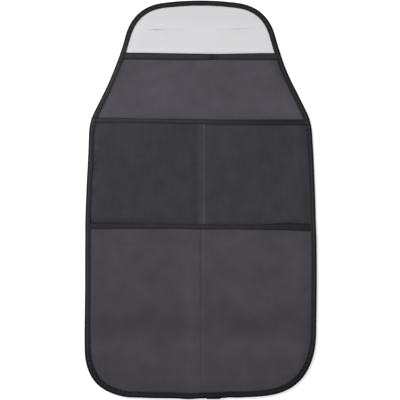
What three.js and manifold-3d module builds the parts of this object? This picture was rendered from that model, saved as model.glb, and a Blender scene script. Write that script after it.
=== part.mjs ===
// A fabric kick mat for the back of a car seat. It lies on its back, with its front face up.
// Millimetres. +X runs across the mat, +Y from its bottom edge to its top edge, and +Z out of its front face.
// The origin is on the surface that the mat lies on, under the middle of the mat.

import * as THREE from "three";
import { mergeVertices } from "three/addons/utils/BufferGeometryUtils.js";
import Module from "manifold-3d";

const wasm = await Module();
wasm.setup();

// The mat's outline is a string of corners, each blended into the two edges that meet there.
// A drop is how far a corner lies below the top edge, and a blend is how far its curve reaches along an edge.
const matLength = 699;
const matWidth = 407;
const browHalfWidth = 32;
const browBlend = 34;
const crownHalfWidth = 118;
const crownDrop = 11;
const crownBlend = 55;
const neckHalfWidth = 144.6;
const neckDrop = 112;
const neckBlend = 50;
const shoulderHalfWidth = 195;
const shoulderDrop = 213;
const shoulderBlend = 21;
const flankDrop = 388;
const flankBlend = 83;
const heelRise = 2.5;
const leftHeelBlend = 88;
const rightHeelBlend = 117;
const footBlend = 83;
const curveSteps = 9;

// Thickness of each material.
const tapeThickness = 0.5;
const filmThickness = 0.4;
const clothThickness = 0.6;
const meshThickness = 0.3;

// Folded tape: how wide each leg is, how far and over which part of its width it stands proud,
// and the radius of its fold.
const bindingWidth = 10.5;
const hemWidth = 11;
const joinWidth = 12;
const tapeCrown = 0.2;
const crownStart = 0.35;
const crownEnd = 0.65;
const foldRadius = 0.9;
const foldSteps = 3;

// Places of the bands, as drops below the top edge.
const joinDrop = 91.5;
const meshPocketDrop = 207;
const lowerPocketDrop = 391.5;
const meshTuck = 16;

// The edge binding's two ends lap over each other on the bottom edge.
const lapStart = 10.5;
const lapLength = 22;
const lapStep = 0.3;

// A line of stitches down the mat's middle divides each pocket into two. Each half gapes a little at its mouth,
// and lies flat further down.
const pocketGape = 8;
const meshGapeDepth = 150;
const lowerGapeDepth = 200;
const clothGrid = 14;

// Slits in the top panel for the two posts of a headrest.
const slitSpacing = 120;
const slitLength = 62;
const slitWidth = 1.4;
const slitDrop = 49;

// Clearances in the binding's fold, in the hems' folds and at the panels' rims.
const foldClearance = 0.1;
const hemClearance = 0.15;
const rimClearance = 0.3;

// The binding climbs on to a pocket over this length. It starts a little before the pocket's mouth,
// because its inner edge lies lower than its fold where the mat's sides splay out.
const climbLength = 5;
const climbLead = 0.6 * bindingWidth;

// Heights of the layers, from the surface that the mat lies on.
const filmBottom = tapeThickness;
const filmTop = filmBottom + filmThickness;
const mainTop = filmTop + clothThickness;
const meshBottom = mainTop + tapeThickness + hemClearance;
const meshTop = meshBottom + meshThickness;
const lowerPocketBottom = meshTop + tapeThickness + hemClearance;
const lowerPocketTop = lowerPocketBottom + clothThickness;
const hemRise = hemClearance + tapeThickness;

// Places along the mat's length. The lap makes the bottom edge one tape thicker there.
const topEdge = (matLength + tapeThickness) / 2;
const bottomEdge = topEdge - matLength;
const joinTop = topEdge - joinDrop;
const meshPocketMouth = topEdge - meshPocketDrop;
const lowerPocketMouth = topEdge - lowerPocketDrop;

const binding = new THREE.MeshStandardMaterial({ color: 0x302f31, roughness: 0.85, metalness: 0 });
const hemTape = new THREE.MeshStandardMaterial({ color: 0x38363a, roughness: 0.85, metalness: 0 });
const film = new THREE.MeshStandardMaterial({ color: 0xd8d8da, roughness: 0.45, metalness: 0 });
const upperCloth = new THREE.MeshStandardMaterial({ color: 0x504e54, roughness: 0.9, metalness: 0 });
const meshCloth = new THREE.MeshStandardMaterial({ color: 0x3c3c3e, roughness: 0.9, metalness: 0 });
const lowerCloth = new THREE.MeshStandardMaterial({ color: 0x464449, roughness: 0.9, metalness: 0 });

// The bottom edge is a shallow V whose blended foot touches the mat's full length.
const footDrop = matLength + (heelRise * footBlend) / matWidth;

// The outline's corners down the mat's right side, mirrored for its left.
function sideCorners(side, heelBlend) {
  const corner = (halfWidth, drop, blend) => ({
    at: new THREE.Vector2(side * halfWidth, topEdge - drop),
    blend,
  });
  return [
    corner(browHalfWidth, 0, browBlend),
    corner(crownHalfWidth, crownDrop, crownBlend),
    corner(neckHalfWidth, neckDrop, neckBlend),
    corner(shoulderHalfWidth, shoulderDrop, shoulderBlend),
    corner(matWidth / 2, flankDrop, flankBlend),
    corner(matWidth / 2, footDrop - heelRise, heelBlend),
  ];
}

// The outline as a closed ring of points, anticlockwise. A blend gives way where two of them fill an edge.
function outlineRing() {
  const corners = [
    ...sideCorners(-1, leftHeelBlend),
    { at: new THREE.Vector2(0, topEdge - footDrop), blend: footBlend },
    ...sideCorners(1, rightHeelBlend).reverse(),
  ];
  const reach = (corner, neighbour) => {
    const edge = corner.at.distanceTo(neighbour.at);
    const share = Math.min(1, edge / (corner.blend + neighbour.blend));
    return corner.at.clone().lerp(neighbour.at, (corner.blend * share) / edge);
  };
  const path = new THREE.Path();
  corners.forEach((corner, i) => {
    const start = reach(corner, corners.at(i - 1));
    const end = reach(corner, corners[(i + 1) % corners.length]);
    if (i === 0) path.moveTo(start.x, start.y);
    else path.lineTo(start.x, start.y);
    path.quadraticCurveTo(corner.at.x, corner.at.y, end.x, end.y);
  });
  return withoutRepeats(path.getPoints(curveSteps));
}

function withoutRepeats(ring) {
  const shortest = 0.05;
  return ring.filter((point, i) => point.distanceTo(ring.at(i - 1)) > shortest);
}

// Adds a point wherever the ring crosses one of the values of x or y.
function splitRing(ring, axis, values) {
  return withoutRepeats(
    ring.flatMap((point, i) => {
      const next = ring[(i + 1) % ring.length];
      const span = next[axis] - point[axis];
      const crossings = values
        .map((value) => (value - point[axis]) / span)
        .filter((t) => t > 0 && t < 1)
        .sort((a, b) => a - b);
      return [point, ...crossings.map((t) => point.clone().lerp(next, t))];
    }),
  );
}

// The inward normal at each point of an anticlockwise ring, stretched so that an inset keeps its distance.
function inwardNormals(ring) {
  return ring.map((point, i) => {
    const before = point.clone().sub(ring.at(i - 1)).normalize();
    const after = ring[(i + 1) % ring.length].clone().sub(point).normalize();
    const along = before.clone().add(after).normalize();
    const stretch = 1 / along.dot(after);
    return new THREE.Vector2(-along.y, along.x).multiplyScalar(stretch);
  });
}

function insetRing(ring, distance) {
  const normals = inwardNormals(ring);
  return ring.map((point, i) => point.clone().addScaledVector(normals[i], distance));
}

// The part of a ring between two heights along the mat.
function clipRing(ring, low, high) {
  const keep = (points, inside, level) =>
    points.flatMap((point, i) => {
      const before = points.at(i - 1);
      const crosses = inside(point) !== inside(before);
      const cut = crosses
        ? [before.clone().lerp(point, (level - before.y) / (point.y - before.y))]
        : [];
      return inside(point) ? [...cut, point] : cut;
    });
  const above = keep(ring, (point) => point.y >= low, low);
  return withoutRepeats(keep(above, (point) => point.y <= high, high));
}

// How far the mat reaches out from its middle line on one side, at a height along it.
function halfWidthAt(y, side) {
  let widest = 0;
  ring.forEach((point, i) => {
    const next = ring[(i + 1) % ring.length];
    if (point.y > y === next.y > y) return;
    const x = THREE.MathUtils.mapLinear(y, point.y, next.y, point.x, next.x);
    widest = Math.max(widest, side * x);
  });
  return widest;
}

// How high a pocket's cloth stands over its flat place.
function liftAt(x, y, mouth, gapeDepth) {
  const widest = halfWidthAt(y, Math.sign(x)) - bindingWidth - clothGrid;
  const across = THREE.MathUtils.clamp(Math.abs(x) / widest, 0, 1);
  const down = THREE.MathUtils.clamp((mouth - y) / gapeDepth, 0, 1);
  return pocketGape * Math.sin(Math.PI * across) ** 2 * Math.cos((Math.PI / 2) * down) ** 2;
}

function lift(geometry, mouth, gapeDepth) {
  const position = geometry.getAttribute("position");
  for (let i = 0; i < position.count; i++) {
    const rise = liftAt(position.getX(i), position.getY(i), mouth, gapeDepth);
    position.setZ(i, position.getZ(i) + rise);
  }
  geometry.computeVertexNormals();
  return geometry;
}

// A pocket's cloth, cut to the rim and gaping at its mouth.
function pocketCloth(foot, mouth, gapeDepth, bottom, top) {
  const length = mouth - tapeThickness - foot;
  const columns = Math.ceil(matWidth / clothGrid);
  const rows = Math.ceil(length / clothGrid);
  const sheet = new THREE.BoxGeometry(matWidth, length, top - bottom, columns, rows, 1);
  sheet.translate(0, foot + length / 2, (top + bottom) / 2);
  return lift(toGeometry(toSolid(sheet).intersect(rimPrism)), mouth, gapeDepth);
}

// A flat layer between two heights.
function slab(shape, bottom, top) {
  const geometry = new THREE.ExtrudeGeometry(shape, { depth: 1, bevelEnabled: false, curveSegments: curveSteps });
  const position = geometry.getAttribute("position");
  for (let i = 0; i < position.count; i++) position.setZ(i, position.getZ(i) > 0.5 ? top : bottom);
  return geometry;
}

function toSolid(geometry) {
  const bare = geometry.clone();
  bare.deleteAttribute("normal");
  bare.deleteAttribute("uv");
  const merged = mergeVertices(bare, 1e-4);
  return new wasm.Manifold(
    new wasm.Mesh({
      numProp: 3,
      vertProperties: merged.attributes.position.array,
      triVerts: new Uint32Array(merged.index.array),
    }),
  );
}

function toGeometry(solid) {
  const mesh = solid.getMesh();
  const geometry = new THREE.BufferGeometry();
  geometry.setAttribute("position", new THREE.BufferAttribute(mesh.vertProperties, 3));
  geometry.setIndex(new THREE.BufferAttribute(mesh.triVerts, 1));
  geometry.computeVertexNormals();
  return geometry;
}

// The section of a tape folded over an edge: x is the distance in from the fold, and y is the height.
// Its legs hold what lies between bottom + tapeThickness and top - tapeThickness.
function foldedSection(width, bottom, top) {
  const radius = Math.min(foldRadius, (top - bottom) / 2);
  const fold = [];
  for (let i = 0; i <= foldSteps; i++) {
    const turn = (i / foldSteps) * (Math.PI / 2);
    fold.push([radius * (1 - Math.sin(turn)), bottom + radius * (1 - Math.cos(turn))]);
  }
  const overTop = fold.map(([x, y]) => [x, top + bottom - y]).reverse();
  return [
    [width, bottom],
    ...fold,
    ...overTop,
    [width * crownStart, top + tapeCrown],
    [width * crownEnd, top + tapeCrown],
    [width, top],
    [width, top - tapeThickness],
    [tapeThickness, top - tapeThickness],
    [tapeThickness, bottom + tapeThickness],
    [width, bottom + tapeThickness],
  ].map(([x, y]) => new THREE.Vector2(x, y));
}

// Closes a loft through sections that follow each other round a ring.
function loftRing(sections) {
  const perSection = sections[0].length;
  const positions = sections.flat().flatMap((point) => point.toArray());
  const corner = (i, j) => (i % sections.length) * perSection + (j % perSection);
  const triangles = [];
  for (let i = 0; i < sections.length; i++) {
    for (let j = 0; j < perSection; j++) {
      triangles.push(corner(i, j), corner(i + 1, j), corner(i + 1, j + 1));
      triangles.push(corner(i, j), corner(i + 1, j + 1), corner(i, j + 1));
    }
  }
  const geometry = new THREE.BufferGeometry();
  geometry.setAttribute("position", new THREE.Float32BufferAttribute(positions, 3));
  geometry.setIndex(triangles);
  geometry.computeVertexNormals();
  return geometry;
}

// A band across the mat: a section in y and z, swept along x and cut off at the panels' rim.
function crossBand(section, steps = 1) {
  const geometry = new THREE.ExtrudeGeometry(new THREE.Shape(section), {
    depth: matWidth,
    steps,
    bevelEnabled: false,
  });
  geometry.translate(0, 0, -matWidth / 2);
  const acrossMat = new THREE.Matrix4().makeBasis(
    new THREE.Vector3(0, 1, 0),
    new THREE.Vector3(0, 0, 1),
    new THREE.Vector3(1, 0, 0),
  );
  geometry.applyMatrix4(acrossMat);
  return toGeometry(toSolid(geometry).intersect(rimPrism));
}

const ring = outlineRing();
const panelRing = insetRing(ring, tapeThickness + rimClearance);
const stackHeight = 2 * lowerPocketTop;
const rimPrism = toSolid(slab(new THREE.Shape(panelRing), -stackHeight, stackHeight));

// The top panel is a frosted film, slit for the headrest's posts. Its lower edge ends under the join tape.
function topPanel() {
  const shape = new THREE.Shape(clipRing(panelRing, joinTop - joinWidth, topEdge));
  for (const side of [-1, 1]) {
    const slit = new THREE.Path();
    const middle = (side * slitSpacing) / 2;
    const reach = (slitLength - slitWidth) / 2;
    const height = topEdge - slitDrop;
    slit.absarc(middle + reach, height, slitWidth / 2, -Math.PI / 2, Math.PI / 2);
    slit.absarc(middle - reach, height, slitWidth / 2, Math.PI / 2, (3 * Math.PI) / 2);
    shape.holes.push(slit);
  }
  return slab(shape, filmBottom, filmTop);
}

// The main panel is one piece of coated cloth from the join tape to the bottom edge.
function mainPanel() {
  return slab(new THREE.Shape(clipRing(panelRing, bottomEdge, joinTop)), filmTop, mainTop);
}

// The join tape is sewn flat over the edge where the film and the cloth lap.
function joinTape() {
  const top = mainTop + tapeThickness;
  const section = [
    [joinTop, mainTop],
    [joinTop, top],
    [joinTop - joinWidth * crownStart, top + tapeCrown],
    [joinTop - joinWidth * crownEnd, top + tapeCrown],
    [joinTop - joinWidth, top],
    [joinTop - joinWidth, mainTop],
  ].map(([y, z]) => new THREE.Vector2(y, z));
  return crossBand(section);
}

// The mesh pocket reaches down behind the lower pocket's hem, where it is sewn to the main panel.
function meshPocket() {
  const foot = lowerPocketMouth - hemWidth - meshTuck;
  return pocketCloth(foot, meshPocketMouth, meshGapeDepth, meshBottom, meshTop);
}

function lowerPocket() {
  return pocketCloth(bottomEdge, lowerPocketMouth, lowerGapeDepth, lowerPocketBottom, lowerPocketTop);
}

// A hem is a tape folded over a pocket's top edge, from behind the pocket's cloth to in front of it.
function pocketHem(mouth, gapeDepth, clothBottom, clothTop) {
  const section = foldedSection(hemWidth, clothBottom - hemRise, clothTop + hemRise);
  const band = section.map((point) => new THREE.Vector2(mouth - point.x, point.y));
  return lift(crossBand(band, Math.ceil(matWidth / clothGrid)), mouth, gapeDepth);
}

// The edge binding holds the rims of all the layers, so it climbs where a pocket or a tape begins.
const slotSteps = [
  { y: lowerPocketMouth, slotTop: lowerPocketTop + hemRise + tapeCrown + foldClearance },
  { y: meshPocketMouth, slotTop: meshTop + hemRise + tapeCrown + foldClearance },
  { y: joinTop, slotTop: mainTop + tapeThickness + tapeCrown + foldClearance },
  { y: topEdge, slotTop: filmTop + foldClearance },
];

function slotTopAt(y) {
  for (let i = 0; i < slotSteps.length - 1; i++) {
    const start = slotSteps[i].y + climbLead;
    if (y >= start + climbLength) continue;
    const t = THREE.MathUtils.clamp((y - start) / climbLength, 0, 1);
    return THREE.MathUtils.lerp(slotSteps[i].slotTop, slotSteps[i + 1].slotTop, t);
  }
  return slotSteps.at(-1).slotTop;
}

// 1 where the binding's second end lies over its first, and 0 elsewhere.
function lapAt(point) {
  if (point.y > 0) return 0;
  const rise = (point.x - lapStart) / lapStep;
  const fall = (lapStart + lapLength - point.x) / lapStep;
  return THREE.MathUtils.clamp(Math.min(rise, fall), 0, 1);
}

function edgeBinding() {
  const climbs = slotSteps.slice(0, -1).flatMap((step) => [step.y + climbLead, step.y + climbLead + climbLength]);
  const lapEnds = [lapStart, lapStart + lapStep, lapStart + lapLength - lapStep, lapStart + lapLength];
  const stations = splitRing(splitRing(ring, "y", climbs), "x", lapEnds);
  const normals = inwardNormals(stations);
  const sections = stations.map((station, i) => {
    const top = slotTopAt(station.y) + tapeThickness;
    const lap = lapAt(station) * tapeThickness;
    return foldedSection(bindingWidth, 0, top).map((point) => {
      const outer = point.x < tapeThickness || point.y >= top;
      const out = point.x < tapeThickness ? lap * (1 - point.x / tapeThickness) : 0;
      const up = outer && point.y > top / 2 ? lap : 0;
      const at = station.clone().addScaledVector(normals[i], point.x - out);
      return new THREE.Vector3(at.x, at.y, point.y + up);
    });
  });
  return loftRing(sections);
}

const mat = new THREE.Group();

function addPiece(name, geometry, material) {
  const piece = new THREE.Mesh(geometry, material);
  piece.name = name;
  mat.add(piece);
}

addPiece("top_panel", topPanel(), film);
addPiece("main_panel", mainPanel(), upperCloth);
addPiece("join_tape", joinTape(), hemTape);
addPiece("mesh_pocket", meshPocket(), meshCloth);
addPiece("mesh_pocket_hem", pocketHem(meshPocketMouth, meshGapeDepth, meshBottom, meshTop), hemTape);
addPiece("lower_pocket", lowerPocket(), lowerCloth);
addPiece(
  "lower_pocket_hem",
  pocketHem(lowerPocketMouth, lowerGapeDepth, lowerPocketBottom, lowerPocketTop),
  hemTape,
);
addPiece("edge_binding", edgeBinding(), binding);

export default mat;
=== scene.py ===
# %% [markdown]
# # A kick mat for the back of a car seat
#
# The real mat is sewn from flat sheets: a frosted film at the top, a coated cloth below it, a mesh
# pocket and a cloth pocket on the cloth, and a ribbed tape folded round the whole rim. This lesson
# dresses its plain solids. It could be done with image textures on a few planes, but those fall apart
# close up and from the side. Here each sheet is a real shell with its own thickness, and each finish is
# worked out from its place on the cloth.
#
# The first step loads the solids. They give the places of all that follows, and they are never moved.

# %% Load the solids
import math

import bpy
import numpy as np
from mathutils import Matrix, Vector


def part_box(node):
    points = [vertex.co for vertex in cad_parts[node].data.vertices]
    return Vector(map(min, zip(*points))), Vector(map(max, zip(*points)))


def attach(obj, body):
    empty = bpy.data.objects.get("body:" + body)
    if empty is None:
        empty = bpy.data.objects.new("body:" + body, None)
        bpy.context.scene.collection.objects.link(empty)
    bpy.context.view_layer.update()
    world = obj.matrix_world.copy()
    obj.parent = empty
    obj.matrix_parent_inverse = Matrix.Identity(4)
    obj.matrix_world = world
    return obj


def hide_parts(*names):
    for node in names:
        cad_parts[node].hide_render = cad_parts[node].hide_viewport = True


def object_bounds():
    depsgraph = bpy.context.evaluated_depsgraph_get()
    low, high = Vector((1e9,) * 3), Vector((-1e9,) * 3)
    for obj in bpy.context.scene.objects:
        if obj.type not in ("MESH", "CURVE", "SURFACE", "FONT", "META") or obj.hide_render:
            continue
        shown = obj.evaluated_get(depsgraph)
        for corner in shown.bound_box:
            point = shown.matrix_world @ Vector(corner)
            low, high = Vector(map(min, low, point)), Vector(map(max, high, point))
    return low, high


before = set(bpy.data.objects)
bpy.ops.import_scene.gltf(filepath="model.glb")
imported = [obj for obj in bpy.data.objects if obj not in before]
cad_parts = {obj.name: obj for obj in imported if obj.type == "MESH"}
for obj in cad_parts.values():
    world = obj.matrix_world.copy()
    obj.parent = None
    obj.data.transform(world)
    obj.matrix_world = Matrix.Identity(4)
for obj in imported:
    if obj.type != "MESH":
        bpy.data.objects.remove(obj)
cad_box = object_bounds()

BODY = "root"
MM = 0.001
print("solids:", sorted(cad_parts))

# %% [markdown]
# ## Where the layers lie
#
# A maker stacks the mat from the back: binding, film or cloth, mesh, pocket, and a tape over each
# pocket's mouth. The heights could be typed in, but then they would drift from the solids. So each
# height and each band's place is read from its solid's box.


# %% Heights and places from the solids
def span(node, axis):
    low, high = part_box(node)
    return low[axis], high[axis]


ALONG, UP = 1, 2
BOTTOM_EDGE, TOP_EDGE = span("edge_binding", ALONG)
FILM_BOTTOM, FILM_TOP = span("top_panel", UP)
MAIN_BOTTOM, MAIN_TOP = span("main_panel", UP)
JOIN_TOP = span("join_tape", ALONG)[1]
MESH_FOOT = span("mesh_pocket", ALONG)[0]
MESH_MOUTH = span("mesh_pocket_hem", ALONG)[1]
LOWER_MOUTH = span("lower_pocket_hem", ALONG)[1]
MESH_BOTTOM = span("mesh_pocket", UP)[0]
LOWER_BOTTOM = span("lower_pocket", UP)[0]

TAPE = 0.5 * MM
FILM = FILM_TOP - FILM_BOTTOM
CLOTH = MAIN_TOP - MAIN_BOTTOM
MESH = 0.3 * MM
HEM_RISE = 0.65 * MM
print(f"mouths at {MESH_MOUTH * 1000:.1f} and {LOWER_MOUTH * 1000:.1f} mm")

# %% [markdown]
# ## The outline
#
# The mat's outline is a bottle: a shallow brow, round crown corners, a neck that splays to soft
# shoulders, long flanks and big round heels. It could be drawn as a Bezier curve by hand. A short list
# of corners, each blended into its two edges, is easier to read and to change, and it is how the solids
# were drawn too.

# %% Corners of the outline
MAT_LENGTH = 699 * MM
HALF_WIDTH = (cad_box[1].x - cad_box[0].x) / 2

# Half width, drop below the top edge, and how far the blend reaches along the edges.
SIDE_CORNERS = [
    (32 * MM, 0, 34 * MM),
    (118 * MM, 11 * MM, 55 * MM),
    (144.6 * MM, 112 * MM, 50 * MM),
    (195 * MM, 213 * MM, 21 * MM),
    (HALF_WIDTH, 388 * MM, 83 * MM),
]
HEEL_RISE = 2.5 * MM
LEFT_HEEL_BLEND = 88 * MM
RIGHT_HEEL_BLEND = 117 * MM
FOOT_BLEND = 83 * MM
FOOT_DROP = MAT_LENGTH + HEEL_RISE * FOOT_BLEND / (2 * HALF_WIDTH)


def outline_corners():
    left = [(-x, TOP_EDGE - drop, blend) for x, drop, blend in SIDE_CORNERS]
    right = [(x, TOP_EDGE - drop, blend) for x, drop, blend in reversed(SIDE_CORNERS)]
    low = TOP_EDGE - FOOT_DROP
    left_heel = (-HALF_WIDTH, low + HEEL_RISE, LEFT_HEEL_BLEND)
    right_heel = (HALF_WIDTH, low + HEEL_RISE, RIGHT_HEEL_BLEND)
    return [*left, left_heel, (0, low, FOOT_BLEND), right_heel, *right]


print(f"outline: {len(outline_corners())} corners")


# %% Blend the corners and space the points evenly
def blended_ring(corners, steps=24):
    at = [np.array(corner[:2]) for corner in corners]
    blends = [corner[2] for corner in corners]
    count = len(corners)
    points = []
    for i in range(count):
        reach = []
        for j in (i - 1, (i + 1) % count):
            edge = np.linalg.norm(at[j] - at[i])
            share = min(1, edge / (blends[i] + blends[j]))
            reach.append(at[i] + (at[j] - at[i]) * blends[i] * share / edge)
        t = np.linspace(0, 1, steps)[:, None]
        points.append((1 - t) ** 2 * reach[0] + 2 * t * (1 - t) * at[i] + t**2 * reach[1])
    return np.concatenate(points)


def even_ring(points, spacing):
    closed = np.concatenate([points, points[:1]])
    along = np.concatenate([[0], np.cumsum(np.linalg.norm(np.diff(closed, axis=0), axis=1))])
    places = np.linspace(0, along[-1], round(along[-1] / spacing), endpoint=False)
    return np.stack([np.interp(places, along, closed[:, k]) for k in (0, 1)], -1), places


def inward(ring):
    tangent = np.roll(ring, -1, axis=0) - np.roll(ring, 1, axis=0)
    tangent /= np.linalg.norm(tangent, axis=1)[:, None]
    return np.stack([-tangent[:, 1], tangent[:, 0]], -1)


# Where hand sewing pulled the foot's edge in or let it out: place, reach and how far out, in mm.
FOOT_PULLS = [(-158, 26, -1.4), (-112, 14, -0.6), (-22, 15, 1.3), (50, 9, -1.0), (98, 42, -1.9)]
# How far the mat leans to one side, at places along it, in mm.
LEAN_PLACES = [-0.33, -0.29, -0.23, -0.19, -0.15, -0.07, -0.04, 0.08, 0.13, 0.19, 0.21, 0.235, 0.26, 0.34]
LEANS = [0.3, -0.4, -0.5, 0.1, 0.5, 0.4, -0.2, 0.3, -0.4, -0.2, -0.7, -1.0, -0.5, -0.7]
RING_STEP = 2 * MM
ring, ring_along = even_ring(blended_ring(outline_corners()), RING_STEP)
ring_inward = inward(ring)
for pull_x, reach, out in FOOT_PULLS:
    pull = (ring[:, 1] < -0.25) * out * MM * np.exp(-(((ring[:, 0] / MM - pull_x) / reach) ** 2))
    ring = ring - ring_inward * pull[:, None]
ring[:, 0] += np.interp(ring[:, 1], LEAN_PLACES, LEANS) * MM
print(f"rim: {len(ring)} points, {ring_along[-1]:.3f} m round")

# %% Where the sheets end
RIM_INSET = 0.8 * MM
panel_rim = ring + ring_inward * RIM_INSET
foot_rim = panel_rim[panel_rim[:, 1] < -0.2]
foot_rim = foot_rim[np.argsort(foot_rim[:, 0])]


def rim_at(y, side):
    part = panel_rim[side * panel_rim[:, 0] > 0]
    part = part[np.argsort(part[:, 1])]
    return np.interp(y, part[:, 1], part[:, 0])


def rim_distance(x, y):
    sides = np.minimum(x - rim_at(y, -1), rim_at(y, 1) - x)
    foot = np.interp(x, foot_rim[:, 0], foot_rim[:, 1])
    ends = np.minimum(y - foot, panel_rim[:, 1].max() - y)
    return np.minimum(sides, ends)


for mouth in (MESH_MOUTH, LOWER_MOUTH):
    print(f"width at a mouth: {rim_at(mouth, 1) - rim_at(mouth, -1):.3f} m")

# %% [markdown]
# ## How cloth lies
#
# Cloth that lies flat is never quite flat: it keeps soft waves, a fold line or two from its packet, and
# a swell beside each seam. A cloth simulation could find such a shape, but on a sheet sewn down all
# round it moves almost nothing and costs time. So the relief is a sum of a few smooth waves, the same
# for every layer, which keeps the layers from cutting through each other. The pockets add their own
# gape.


# %% Smooth steps and waves
def smooth(value):
    t = np.clip(value, 0, 1)
    return t * t * (3 - 2 * t)


def soft_waves(x, y, wavelength, seed, count=9):
    draw = np.random.default_rng(seed)
    total = 0
    turns, phases = draw.uniform(0, math.pi, count), draw.uniform(0, 6, count)
    for turn, phase, stretch in zip(turns, phases, draw.uniform(0.7, 1.5, count)):
        across = x * math.cos(turn) + y * math.sin(turn)
        total = total + np.sin(2 * math.pi * across / (wavelength * stretch) + phase)
    return total / math.sqrt(count)


# %% Soft folds
# Middle of each soft fold, its turn in degrees, half its length and width, height in mm, painted light and
# shade.
SOFT_FOLDS = [
    (-0.100, -0.163, -35, 0.050, 0.011, 0.7, 0.05),
    (-0.098, -0.216, 0, 0.065, 0.013, -0.4, -0.06),
    (-0.090, -0.272, -38, 0.030, 0.010, 0.6, 0.06),
    (-0.110, -0.078, 3, 0.060, 0.004, -0.5, -0.05),
    (0.075, -0.176, -40, 0.040, 0.011, 0.7, 0.05),
    (0.072, -0.218, 0, 0.035, 0.014, -0.4, -0.06),
    (0.071, -0.268, -38, 0.030, 0.010, 0.6, 0.05),
    (0.135, -0.075, 4, 0.040, 0.005, 0.5, 0.04),
    (-0.075, 0.190, 25, 0.050, 0.010, 0.5, 0.06),
    (-0.070, 0.222, 14, 0.032, 0.008, 0.4, 0.08),
    (-0.060, 0.240, 12, 0.030, 0.004, -0.3, -0.06),
    (0.045, 0.185, -50, 0.045, 0.012, -0.5, -0.05),
    (0.105, 0.160, -12, 0.040, 0.006, 0.4, 0.05),
    (0.020, 0.205, -60, 0.020, 0.004, 0.3, 0.04),
]


# Column 0 gives each fold's height, column 1 the light and shade painted on it.
def soft_folds(x, y, kept):
    total = 0 * x
    for middle_x, middle_y, turn, length, width, *strengths in SOFT_FOLDS:
        c, s = math.cos(math.radians(turn)), math.sin(math.radians(turn))
        along = ((x - middle_x) * c + (y - middle_y) * s) / length
        across = ((y - middle_y) * c - (x - middle_x) * s) / width
        total = total + strengths[kept] * np.exp(-(along**2) - across**2)
    return total


print(f"soft folds: {len(SOFT_FOLDS)}")

# %% Relief that all layers share
BINDING_WIDTH = 10.5 * MM
SETTLE_HEIGHT = 0.5 * MM
SETTLE_FADE = 25 * MM
FOLD_LINES = [-0.246, -0.082, 0.205]
FOLD_REACH = 22 * MM
FOLD_HEIGHT = 0.6 * MM
RIM_SWELL = 1.0 * MM
RIM_SWELL_REACH = 16 * MM


def settle(x, y):
    inside = rim_distance(x, y) - BINDING_WIDTH
    fade = smooth(inside / SETTLE_FADE)
    waves = soft_waves(x, y, 0.11, seed=4) + 0.5 * soft_waves(x, y, 0.045, seed=9)
    folds = sum(np.exp(-np.abs(y - line) / FOLD_REACH) for line in FOLD_LINES)
    relief = SETTLE_HEIGHT * (waves + 2).clip(0, 4) / 2 + FOLD_HEIGHT * folds
    relief = fade * (relief + soft_folds(x, y, 0) * MM)
    return relief + RIM_SWELL * smooth(inside / RIM_SWELL_REACH)


print(f"relief in the middle: {settle(np.zeros(1), np.zeros(1))[0] * 1000:.2f} mm")

# %% How a pocket gapes
POCKET_GAPE = 8 * MM
POCKET_MARGIN = 24.5 * MM
MESH_GAPE_DEPTH = 150 * MM
LOWER_GAPE_DEPTH = 200 * MM


def gape(x, y, mouth, depth):
    widest = np.where(x < 0, -rim_at(y, -1), rim_at(y, 1)) - POCKET_MARGIN
    across = np.clip(np.abs(x) / widest, 0, 1)
    down = np.clip((mouth - y) / depth, 0, 1)
    return POCKET_GAPE * np.sin(math.pi * across) ** 2 * np.cos(math.pi / 2 * down) ** 2


def beside(x, centre, reach):
    return np.exp(-(((x - centre) / reach) ** 2))


print(f"each pocket half gapes {POCKET_GAPE * 1000:.0f} mm")

# %% [markdown]
# ## Shells
#
# A sheet could be one plane with a Solidify modifier. Building both faces and the edge by hand gives
# the same closed shell, and the rows and columns can follow the outline, so no face is left ragged at
# the rim.


# %% A closed shell over a grid of places
def finish_piece(name, vertices, faces, finish, replaces=None):
    mesh = bpy.data.meshes.new(name)
    mesh.from_pydata(np.asarray(vertices).tolist(), [], [list(face) for face in faces])
    mesh.validate()
    mesh.polygons.foreach_set("use_smooth", [True] * len(mesh.polygons))
    mesh.set_sharp_from_angle(angle=math.radians(55))
    mesh.materials.append(finish)
    piece = bpy.data.objects.new(name, mesh)
    bpy.context.scene.collection.objects.link(piece)
    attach(piece, BODY)
    if replaces:
        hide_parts(replaces)
    print(f"{name}: {len(mesh.polygons)} faces")
    return piece


def grid_faces(rows, columns):
    index = np.arange(rows * columns).reshape(rows, columns)
    corners = [index[:-1, :-1], index[:-1, 1:], index[1:, 1:], index[1:, :-1]]
    return index, np.stack(corners, -1).reshape(-1, 4)


def shell(name, x, y, top, thickness, finish, replaces):
    rows, columns = x.shape
    index, quads = grid_faces(rows, columns)
    below = rows * columns
    rim = np.concatenate([index[0], index[1:, -1], index[-1, -2::-1], index[-2:0:-1, 0]])
    after = np.roll(rim, -1)
    walls = np.stack([rim, rim + below, after + below, after], -1)
    upper = np.stack([x, y, top], -1).reshape(-1, 3)
    lower = np.stack([x, y, top - thickness], -1).reshape(-1, 3)
    faces = np.concatenate([quads, quads[:, ::-1] + below, walls])
    return finish_piece(name, np.concatenate([upper, lower]), faces.tolist(), finish, replaces)


# %% A value kept at each point of a piece
def keep_value(piece, name, value_at):
    places = np.empty(len(piece.data.vertices) * 3)
    piece.data.vertices.foreach_get("co", places)
    x, y, _ = places.reshape(-1, 3).T
    values = value_at(x, y)
    piece.data.attributes.new(name, "FLOAT", "POINT").data.foreach_set("value", values)
    print(f"{piece.name}: {name} from {values.min():.2f} to {values.max():.2f}")


# %% Rows and columns that follow the outline
CLOTH_STEP = 3.5 * MM
RIM_ROWS = np.array([0, 0.5, 1.2, 2.2, 3.6, 5.5, 8]) * MM
FINE_SHARE = 0.045
FINE_COLUMNS = 45
# Where the sheets end at the foot, inside the fold of the tape and its lap.
FOOT_TRIM = 0.4 * MM
SHEET_FOOT = BOTTOM_EDGE + TAPE + RIM_INSET + FOOT_TRIM


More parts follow.
